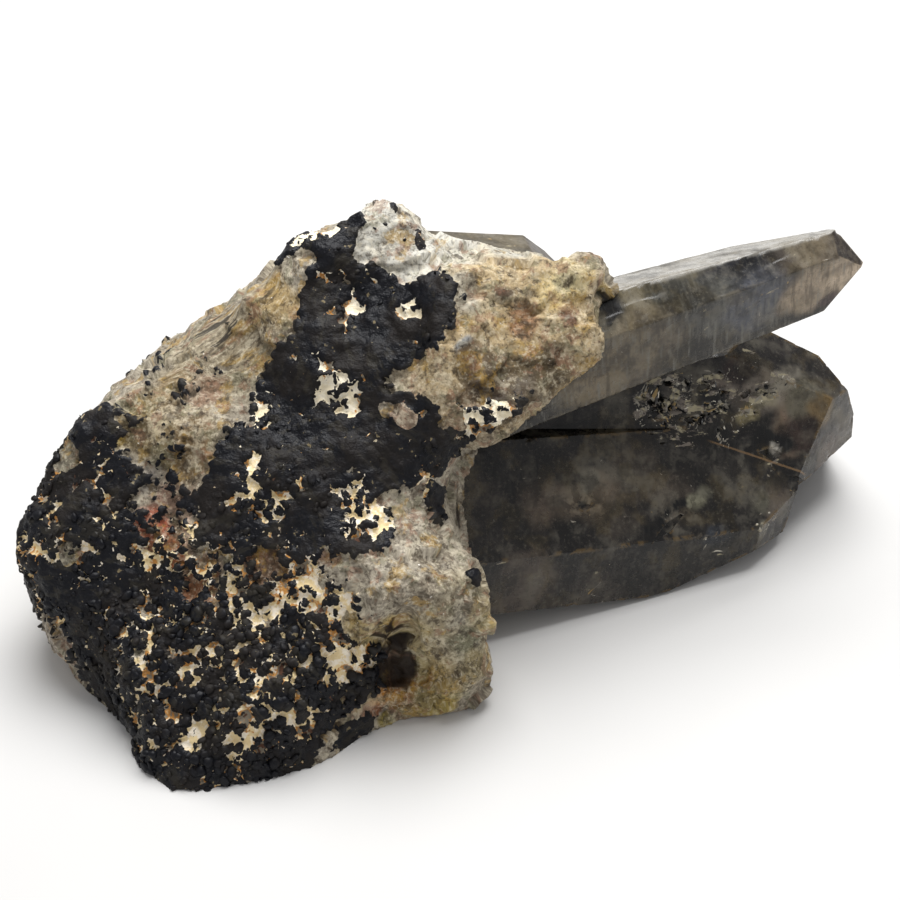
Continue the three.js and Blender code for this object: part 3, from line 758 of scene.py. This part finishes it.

# the crystals: axis, finish, brush strokes in mm for their colour and for where they are pitted, and
# tints by the way a face looks, which paint light and shade
crystals = {
    "upper_crystal": {
        "slot": "smoky_quartz", "bearing": 22, "pitch": 6,
        "body": "#36322c", "shade": "#8f8d8a", "haze": "#8a8270", "streaks": 0.6,
        "streakTint": "#7d7b72", "see": 0.20, "rough": 0.20, "darkness": 700,
        "tints": [
            (33, 13, 63, 11, "#665d47"), (35, 9, 54, 12, "#756a58"), (27, 6, 49, 9, "#7d6f57"),
            (40, 15, 64, 4, "#34332c"), (47, 18, 64, 10, "#403e37"), (55, 20, 64, 10, "#25252a"),
            (65, 24, 64, 8, "#4f4841"), (71, 26, 64, 7, "#7b7060"), (51, 16, 59, 9, "#5a5954"),
            (59, 20, 58, 9, "#5d5f66"), (70, 25, 57, 8, "#b6a38b"), (78, 28, 59, 7, "#e0cbb0"),
            # the last two near-black strokes are painted shade in the hollow where the rock meets the
            # crystal
            (75, 27, 53, 3, "#6d5a55"), (29, 11, 63, 4.5, "#0c0a08"), (28, 9, 60, 3.5, "#12100e"),
        ],
        "pitted": [(33, 12, 62, 7, 0.1), (61, 22, 57, 6, 0.3)],
        # a painted reflection on the upward faces, painted shade on the tip facet
        "facingLightShade": [((0, 0, 1), 0.86, "#aeaba4"), (shadedTipFacet, 0.95, "#3b312a")],
        "lined": (lowerFace, 0.3), "seam": [], "edgeTint": "#8a8272", "edgeStain": 0.3,
    },
    "lower_crystals": {
        "slot": "dark_quartz", "bearing": 12, "pitch": -9,
        "body": "#292522", "shade": "#8c8a88", "haze": "#857f70", "streaks": 0.2,
        "streakTint": "#5d5a54", "see": 0.25, "rough": 0.26, "darkness": 600,
        "tints": [
            (22, -2, 26, 6, "#7d6f5e"), (27, 1, 24, 7, "#877864"), (32, 4, 24, 5, "#6f6252"),
            (9, -1, 32, 8, "#1e1b19"), (20, 3, 30, 6, "#231f1c"), (33, -1, 19, 6, "#3b342d"),
            (5, -6, 29, 6, "#2c2622"), (15, -2, 24, 7, "#5a4e42"), (13, -13, 12, 10, "#51473e"),
            (29, -7, 6, 9, "#3a342e"), (39, -3, 8, 8, "#2c2926"), (50, 1, 7, 6, "#35312c"),
            (66, 12, 13, 5, "#61574d"), (37, 8, 25, 9, "#40382f"), (44, 6, 20, 7, "#4d443a"),
            (46, 15, 27, 8, "#26221f"), (54, 13, 21, 7, "#2b2723"), (48, 7, 18, 2.4, "#94917a"),
            (50, 9, 18, 2, "#868370"), (54, 2, 11, 4, "#44484f"), (26, 3, 27, 4, "#7a7466"),
            (38.8, -0.7, 16.4, 1.5, "#0c0b0b"), (41.3, 1.1, 16.8, 1.5, "#0b0a0a"),
            (42.1, 3.2, 18.4, 1.6, "#0b0a0a"), (44.6, 5.6, 18.7, 1.5, "#0b0a0a"),
            (45.7, 6.7, 18.2, 1.3, "#0c0b0b"), (71, 24, 27, 8, "#8a7462"), (62, 24, 32, 7, "#a09486"),
            (58, 23, 34, 5, "#968b7e"), (76, 32, 31, 7, "#2d2823"), (69, 33, 35, 8, "#2a2522"),
            (81, 28, 18, 9, "#716c66"), (82, 30, 26, 4, "#6a6660"), (69, 20, 22, 5, "#705e4d"),
            (45, 18, 32, 8, "#332d28"), (53, 22, 36, 3, "#6c5f55"), (51, 21, 33, 3.5, "#100f0e"),
            (58, 25, 37, 4, "#3a2b26"), (71, 26, 29, 6, "#6b6554"), (75, 25, 27, 4, "#7f6b4a"),
            (72, 22, 22, 6, "#3e3029"), (78, 24, 15, 5, "#6b5f55"), (59.7, 21.1, 28.1, 2.6, "#b3a67c"),
            (60.3, 22.5, 29.8, 2.6, "#b3a67c"), (62.6, 23.6, 29.9, 2.8, "#aea488"),
            (63.6, 24.5, 31.3, 2.8, "#a9a08a"), (65.7, 25.5, 32.5, 2.8, "#a39b8a"),
            (67.3, 26.3, 33.6, 2.8, "#9b9382"), (69.2, 29.1, 33.7, 2.4, "#8d8678"),
            # the near-white stroke after these black ones is a painted glint in the pit
            (62.4, 18.3, 23.2, 2.6, "#0e0d0c"), (65.2, 18.8, 22.2, 3, "#0d0c0b"),
            (67.5, 19.4, 21.5, 2.6, "#0e0d0c"), (66.4, 18.7, 20.4, 1.5, "#fbf5e6"),
            (62, 11, 14, 3.5, "#5c594c"), (63, 7, 10, 2.2, "#7a7668"), (25, -1, 23, 1.5, "#221e1b"),
        ],
        "pitted": [
            (45, 18, 32, 9, 1), (39, 17, 35, 6, 0.9), (52, 21, 35, 7, 0.8), (60, 24, 34, 6, 0.5),
            (66, 17, 20, 4, 0.3), (56, 19, 26, 5, 0.7), (46, 17, 27, 5, 0.6), (26, -8, 4, 8, 0.3),
            (54, 2, 10, 5, 0.6), (43, 3, 17.5, 3, 0.5), (64, 8, 11, 4, 0.6),
            (60.3, 22.5, 29.8, 3.5, 1.0), (63.6, 24.5, 31.3, 3.5, 0.93), (67.3, 26.3, 33.6, 3.5, 0.85),
        ],
        # painted shade on the upward faces, which lie under the upper crystal
        "facingLightShade": [((0, 0, 1), 0.86, "#35302a")], "lined": (lowerFace, 0.5),
        "seam": [(57, 17, 24, 6, 0.9), (63, 17.5, 21, 7, 1), (70, 18, 17, 6, 1)],
        "edgeTint": "#7a6238", "edgeStain": 0.45,
    },
    "back_crystal": {
        "slot": "grey_quartz", "bearing": 10, "pitch": -6,
        "body": "#51493f", "shade": "#b0aeaa", "haze": "#8d8678", "streaks": 0.2,
        "streakTint": "#7b776c", "see": 0.15, "rough": 0.35, "darkness": 300,
        "tints": [(15, 30, 62, 10, "#6a5f53")],
        "pitted": [(5, 30, 60, 20, 0.3)],
        # painted light on the upward faces
        "facingLightShade": [((0, 0, 1), 0.86, "#655e50")], "lined": (lowerFace, 0.5), "seam": [],
        "edgeTint": "#8a8272", "edgeStain": 0.2,
    },
}
quartz = {
    "ior": 1.54,
    "shine": 0.28,
    "depthTint": "#8a6a4c",
    "bevel": 0.3 * mm,
    "grid": 1.3 * mm,
    "ledgeSize": 9 * mm,
    "ledgeRise": 0.05 * mm,
    "lineSize": 0.9 * mm,
    "lineRise": 0.05 * mm,
    "chipSize": 3.0 * mm,
    "chipReach": 1.1 * mm,
    "chipDepth": 0.28 * mm,
    "seamAt": (62.8 * mm, 17.1 * mm, 20.1 * mm),
    "seamAcross": (-0.225, -0.775, -0.590),
    "pitSize": 2.1 * mm,
    "pitDepth": 0.8 * mm,
}


def axesOf(values):
    turn = Euler((0, math.radians(-values["pitch"]), math.radians(values["bearing"]))).to_matrix()
    return [turn.col[n].copy() for n in range(3)]


# distance from each point to the nearest of some edges
def edgeDistance(places, edges):
    nearest = np.full(len(places), 1.0)
    for start, end in edges:
        run = end - start
        along = np.clip((places - start) @ run / (run @ run), 0, 1)
        nearest = np.minimum(nearest, np.linalg.norm(places - start - along[:, None] * run, axis=1))
    return nearest


# the edges where two crystals meet are hollow ones, and are listed apart
def sharpEdges(piece, limit):
    faces = {}
    for face in piece.data.polygons:
        for key in face.edge_keys:
            faces.setdefault(key, []).append(face)
    edges = {"sharp": [], "hollow": []}
    for key, pair in faces.items():
        if len(pair) == 2 and pair[0].normal.angle(pair[1].normal) > math.radians(limit):
            hollow = (pair[1].center - pair[0].center).dot(pair[0].normal) > 0
            ends = tuple(np.array(piece.data.vertices[n].co) for n in key)
            edges["hollow" if hollow else "sharp"].append(ends)
    return edges


# cuts every face along a grid, so that the relief has something to move
def cutGrid(piece, axes, step):
    places = cornersOf(piece)
    selectOnly(piece)
    bpy.ops.object.mode_set(mode="EDIT")
    for axis in axes:
        reach = places @ np.array(axis)
        for n in range(1, int((reach.max() - reach.min()) / step)):
            bpy.ops.mesh.select_all(action="SELECT")
            bpy.ops.mesh.bisect(plane_co=axis * (reach.min() + n * step), plane_no=axis)
    bpy.ops.object.mode_set(mode="OBJECT")


# marks on a crystal's faces that the mesh and the material both read
def crystalMasks(tree, place, along, pitted, edge):
    masks = {}
    wide = vectors(tree, "MULTIPLY", along, (1.0, 0.16, 0.16))
    long = vectors(tree, "MULTIPLY", along, (0.35, 1.0, 1.0))
    masks["ledge"] = ramp(tree, noiseAt(tree, long, quartz["ledgeSize"], 3.0, 0.55), 0.50, 0.56)
    masks["lines"] = noiseAt(tree, wide, quartz["lineSize"], 2.0, 0.6)
    broken = noiseAt(tree, place, quartz["chipSize"], 3.0, 0.6)
    nearEdge = ramp(tree, edge, quartz["chipReach"], 0.2 * quartz["chipReach"])
    masks["chips"] = times(tree, ramp(tree, broken, 0.56, 0.68), nearEdge)
    eaten = noiseAt(tree, place, quartz["pitSize"], 5.0, 0.68, 0.6)
    here = addTimes(tree, noiseAt(tree, place, 6 * mm, 3.0, 0.6), 0.8, pitted)
    masks["pits"] = ramp(tree, addTimes(tree, here, 0.22, eaten), 0.85, 0.88)
    masks["swirl"] = warped(tree, place, 8 * mm, 7 * mm, 1.0)
    crumbs = noiseAt(tree, masks["swirl"], 1.6 * mm, 3.0, 0.6, 0.5)
    masks["specks"] = ramp(tree, addTimes(tree, here, 0.16, crumbs), 0.79, 0.81)
    scales = noiseAt(tree, long, 1.9 * mm, 5.0, 0.62, 0.4)
    masks["flakes"] = ramp(tree, addTimes(tree, here, 0.20, scales), 0.78, 0.81)
    return masks


def crystalRelief():
    tree, entry = meshGroup("crystal relief")
    place = addNode(tree, "GeometryNodeInputPosition").outputs[0]
    normal = addNode(tree, "GeometryNodeInputNormal").outputs[0]
    values = attributesOf(tree, ("pitted", "edge"))
    values |= attributesOf(tree, ("along",), "FLOAT_VECTOR")
    masks = crystalMasks(tree, place, values["along"], values["pitted"], values["edge"])
    height = times(tree, masks["ledge"], quartz["ledgeRise"])
    height = addTimes(tree, masks["lines"], quartz["lineRise"], height)
    height = addTimes(tree, masks["chips"], -quartz["chipDepth"], height)
    height = addTimes(tree, masks["pits"], -quartz["pitDepth"], height)
    height = calc(tree, "SUBTRACT", height, quartz["ledgeRise"])
    raiseSurface(tree, entry[0], place, normal, height)
    return tree


# the same marks for the materials, with what each of them changes
def crystalFaceGroup():
    tree, entry = newGroup("crystal face", "ShaderNodeTree", {
        "Place": "Vector", "Along": "Vector", "Pitted": "Float", "Edge": "Float",
        "Contact": "Float", "Seam": "Float", "Lined": "Float", "Tint": "Color",
        "Shade": "Color", "Haze": "Color", "Streak tint": "Color", "Streaks": "Float",
        "Polish": "Float", "Edge tint": "Color", "Edge stain": "Float",
    }, finish)
    place = entry["Place"]
    masks = crystalMasks(tree, place, entry["Along"], entry["Pitted"], entry["Edge"])
    clouds = noiseAt(tree, place, 9 * mm, 3.0, 0.6, 0.2)
    small = noiseAt(tree, apartFrom(tree, place, 0.4), 3.6 * mm, 4.0, 0.62, 0.2)
    grain = noiseAt(tree, place, 0.7 * mm, 3.0, 0.65)
    olive = noiseAt(tree, apartFrom(tree, place, 0.8), 7 * mm, 3.0, 0.6)
    tint = mixColour(tree, ramp(tree, olive, 0.50, 0.62, 0.0, 0.3), entry["Tint"], paint("#6a5c3a"))
    darker = mixColour(tree, 1.0, tint, entry["Shade"], "MULTIPLY")
    lighter = mixColour(tree, 0.45, tint, entry["Haze"])
    bright = addNode(tree, "ShaderNodeRGBToBW", {0: entry["Tint"]}).outputs[0]
    lighter = mixColour(tree, ramp(tree, bright, 0.003, 0.015), tint, lighter)
    colour = layers(tree, tint, (
        (clouds, 0.54, 0.38, 0.9, darker), (clouds, 0.52, 0.66, 0.9, lighter),
        (small, 0.52, 0.68, 0.45, lighter), (small, 0.48, 0.34, 0.5, darker),
        (grain, 0.52, 0.72, 0.5, lighter), (grain, 0.48, 0.30, 0.5, darker),
    ))
    # painted shade: the faces darken towards the hollow edges where two crystals meet
    paintedCreaseShade = times(tree, ramp(tree, entry["Contact"], 6 * mm, 0.5 * mm), ramp(tree, small, 0.62, 0.45))
    colour = mixColour(tree, paintedCreaseShade, colour, darker)
    streaks = times(tree, entry["Streaks"], entry["Lined"])
    pale = times(tree, ramp(tree, masks["lines"], 0.52, 0.70), streaks)
    colour = mixColour(tree, pale, colour, entry["Streak tint"])
    colour = mixColour(tree, times(tree, ramp(tree, masks["lines"], 0.48, 0.34), streaks), colour, darker)
    colour = mixColour(tree, times(tree, masks["chips"], 0.35), colour, paint("#7d7261"))
    dashes = ramp(tree, noiseAt(tree, masks["swirl"], 5 * mm, 3.0, 0.7), 0.50, 0.58)
    stained = times(tree, ramp(tree, entry["Edge"], 0.75 * mm, 0.25 * mm), dashes)
    colour = mixColour(tree, times(tree, stained, entry["Edge stain"]), colour, entry["Edge tint"])
    scale = mixColour(tree, ramp(tree, small, 0.46, 0.54), paint("#8b8176"), paint("#c4b998"))
    colour = mixColour(tree, times(tree, masks["flakes"], 0.8), colour, scale)
    colour = mixColour(tree, masks["pits"], colour, paint("#0c0b0b"))
    # the thin seam where the two lower crystals meet runs straight
    away = vectors(tree, "SUBTRACT", place, quartz["seamAt"])
    away = vectors(tree, "DOT_PRODUCT", away, quartz["seamAcross"])
    away = addTimes(tree, grain, 0.25 * mm, calc(tree, "ABSOLUTE", away))
    torn = ramp(tree, noiseAt(tree, place, 6 * mm, 3.0, 0.65), 0.30, 0.42)
    rim = times(tree, ramp(tree, away, 0.42 * mm, 0.24 * mm), torn)
    rim = times(tree, rim, times(tree, entry["Seam"], 0.6))
    colour = mixColour(tree, rim, colour, paint("#9a7a54"))
    stain = ramp(tree, noiseAt(tree, place, 3.5 * mm, 2.0, 0.5), 0.54, 0.60)
    crumb = mixColour(tree, stain, paint("#9d978a"), paint("#a98f5e"))
    colour = mixColour(tree, masks["specks"], colour, crumb)
    # tiny painted glints where the faces are pitted
    paintedGlints = noiseAt(tree, apartFrom(tree, masks["swirl"], 0.5), 0.9 * mm, 1.0)
    paintedGlints = times(tree, ramp(tree, paintedGlints, 0.72, 0.75), ramp(tree, entry["Pitted"], 0.2, 0.7))
    colour = mixColour(tree, paintedGlints, colour, paint("#f6efdc"))
    rough = addTimes(tree, ramp(tree, small, 0.45, 0.7), 0.22, entry["Polish"])
    rough = addTimes(tree, masks["specks"], 0.4, rough)
    height = addTimes(tree, masks["lines"], 0.5, masks["ledge"])
    height = addTimes(tree, noiseAt(tree, place, 0.8 * mm, 2.0, 0.6), 0.35, height)
    addNode(tree, "NodeGroupOutput", {"Colour": colour, "Roughness": rough, "Height": height})
    return tree


def quartzMaterial(name, values, faceGroup):
    material, tree, shader = newMaterial(name)
    face = addNode(tree, "ShaderNodeGroup", node_tree=faceGroup)
    for socket, name, output in (
        ("Place", "restPlace", "Vector"), ("Along", "along", "Vector"), ("Pitted", "pitted", "Fac"),
        ("Edge", "edge", "Fac"), ("Contact", "contact", "Fac"), ("Seam", "seam", "Fac"),
        ("Lined", "lined", "Fac"), ("Tint", "tint", "Color"),
    ):
        source = addNode(tree, "ShaderNodeAttribute", attribute_name=name)
        tree.links.new(source.outputs[output], face.inputs[socket])
    for socket, key in (
        ("Shade", "shade"), ("Haze", "haze"), ("Streak tint", "streakTint"), ("Edge tint", "edgeTint"),
    ):
        face.inputs[socket].default_value = paint(values[key])
    for socket, key in (("Streaks", "streaks"), ("Polish", "rough"), ("Edge stain", "edgeStain")):
        face.inputs[socket].default_value = values[key]
    tree.links.new(face.outputs["Colour"], shader.inputs["Base Color"])
    tree.links.new(face.outputs["Roughness"], shader.inputs["Roughness"])
    bump = addNode(tree, "ShaderNodeBump", {
        "Strength": 0.35, "Distance": 0.15 * mm, "Height": face.outputs["Height"],
    })
    tree.links.new(bump.outputs[0], shader.inputs["Normal"])
    shader.inputs["Transmission Weight"].default_value = values["see"]
    shader.inputs["IOR"].default_value = quartz["ior"]
    shader.inputs["Specular IOR Level"].default_value = quartz["shine"]
    absorb = addNode(tree, "ShaderNodeVolumeAbsorption", {
        "Color": paint(quartz["depthTint"]), "Density": values["darkness"],
    })
    tree.links.new(absorb.outputs[0], tree.nodes["Material Output"].inputs["Volume"])
    return material


def addCrystal(nodeName, values, relief, faceGroup):
    piece = copyOf(nodeName, nodeName + "_finish")
    flat = math.radians(0.5)
    applyModifier(piece, "DECIMATE", "flat faces", decimate_type="DISSOLVE", angle_limit=flat)
    edges = sharpEdges(piece, 12)
    applyModifier(
        piece, "BEVEL", "worn edges", width=quartz["bevel"], segments=2, limit_method="ANGLE",
        angle_limit=math.radians(12), use_clamp_overlap=True,
    )
    axes = axesOf(values)
    cutGrid(piece, axes, quartz["grid"])
    applyModifier(piece, "SUBSURF", "finer grid", subdivision_type="SIMPLE", levels=1, render_levels=1)
    places = cornersOf(piece)
    storeNumbers(piece, "pitted", spread(places, values["pitted"], 0))
    storeNumbers(piece, "edge", edgeDistance(places, edges["sharp"]))
    storeNumbers(piece, "contact", edgeDistance(places, edges["hollow"]))
    storeVectors(piece, "along", places @ np.array(axes).T)
    tints = spreadColours(places, values["tints"], values["body"])
    normals = cornersOf(piece, "normal")
    direction, least = values["lined"]
    storeNumbers(piece, "lined", np.clip((normals @ np.array(direction) - 0.8) / 0.15, least, 1))
    storeNumbers(piece, "seam", spread(places, values["seam"], 0))
    # faces that look a given way take a tint of their own: painted light and shade, not a colour of the
    # quartz
    for direction, limit, card in values["facingLightShade"]:
        facingLightShade = np.clip((normals @ np.array(direction) - limit) / 0.04, 0, 1)
        tints += (np.array(paint(card)[:3]) - tints) * facingLightShade[:, None]
    storeVectors(piece, "tint", tints)
    applyGroup(piece, "relief", relief)
    bpy.ops.object.shade_smooth_by_angle(angle=math.radians(14))
    piece.data.materials.append(quartzMaterial(nodeName.replace("_", " "), values, faceGroup))
    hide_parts(nodeName)
    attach(piece, "root")
    print(nodeName, "made,", len(piece.data.polygons), "faces")


relief = crystalRelief()
faceGroup = crystalFaceGroup()
for nodeName, values in crystals.items():
    addCrystal(nodeName, values, relief, faceGroup)
